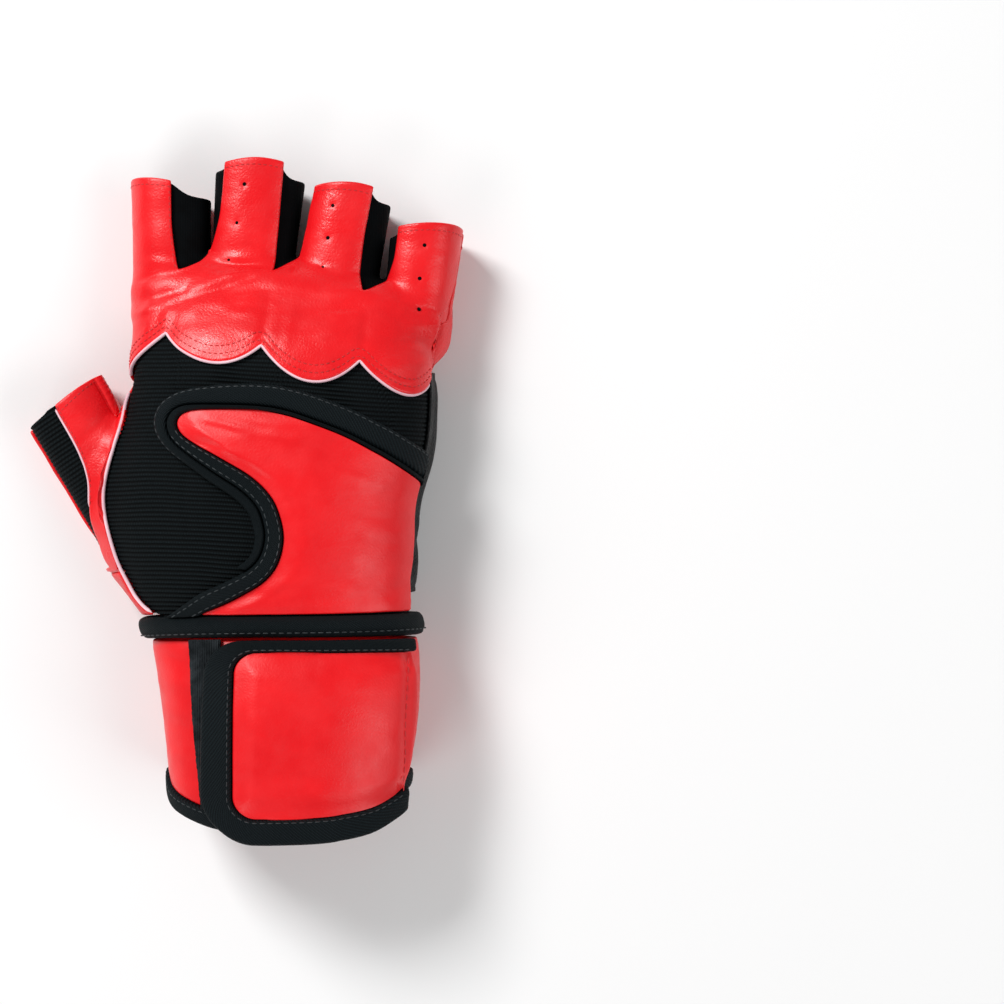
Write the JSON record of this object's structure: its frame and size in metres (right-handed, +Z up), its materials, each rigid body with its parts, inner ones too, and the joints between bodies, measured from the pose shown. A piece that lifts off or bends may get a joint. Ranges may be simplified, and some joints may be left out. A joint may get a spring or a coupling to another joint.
{
  "type": "weightlifting glove",
  "caption": "Fingerless right-hand weightlifting glove in red leather with a ribbed black back, a padded black palm patch, a bound back flap and a cuff closed by a wide wrist strap.",
  "frame": {"origin": "on the table the glove lies on, under the middle of its bounding box", "axes": "+Y from the cuff to the fingertips, +Z up out of the back of the hand, -X towards the thumb"},
  "size_m": [0.1322, 0.2032, 0.0497],
  "materials": {
    "red_leather": "smooth, slightly glossy",
    "black_leather": "grained",
    "black_knit": "ribbed stretch knit",
    "black_tape": "twill tape",
    "loop_pile": "loop pile"
  },
  "bodies": {
    "root": {"knuckle_leather": "red_leather", "palm_leather": "red_leather", "thumb_leather": "red_leather", "thumb_seam": "red_leather", "back_flap": "red_leather", "cuff": "red_leather", "strap": "red_leather", "flap_inner_tape": "black_tape", "flap_outer_tape": "black_tape", "wrist_binding": "black_tape", "hem_binding": "black_tape", "strap_binding": "black_tape", "thumb_knit": "black_knit", "back_knit": "black_knit", "index_gusset": "black_knit", "middle_gusset": "black_knit", "ring_gusset": "black_knit", "loop_tape": "loop_pile", "palm_patch": "black_leather"}
  },
  "joints": []
}
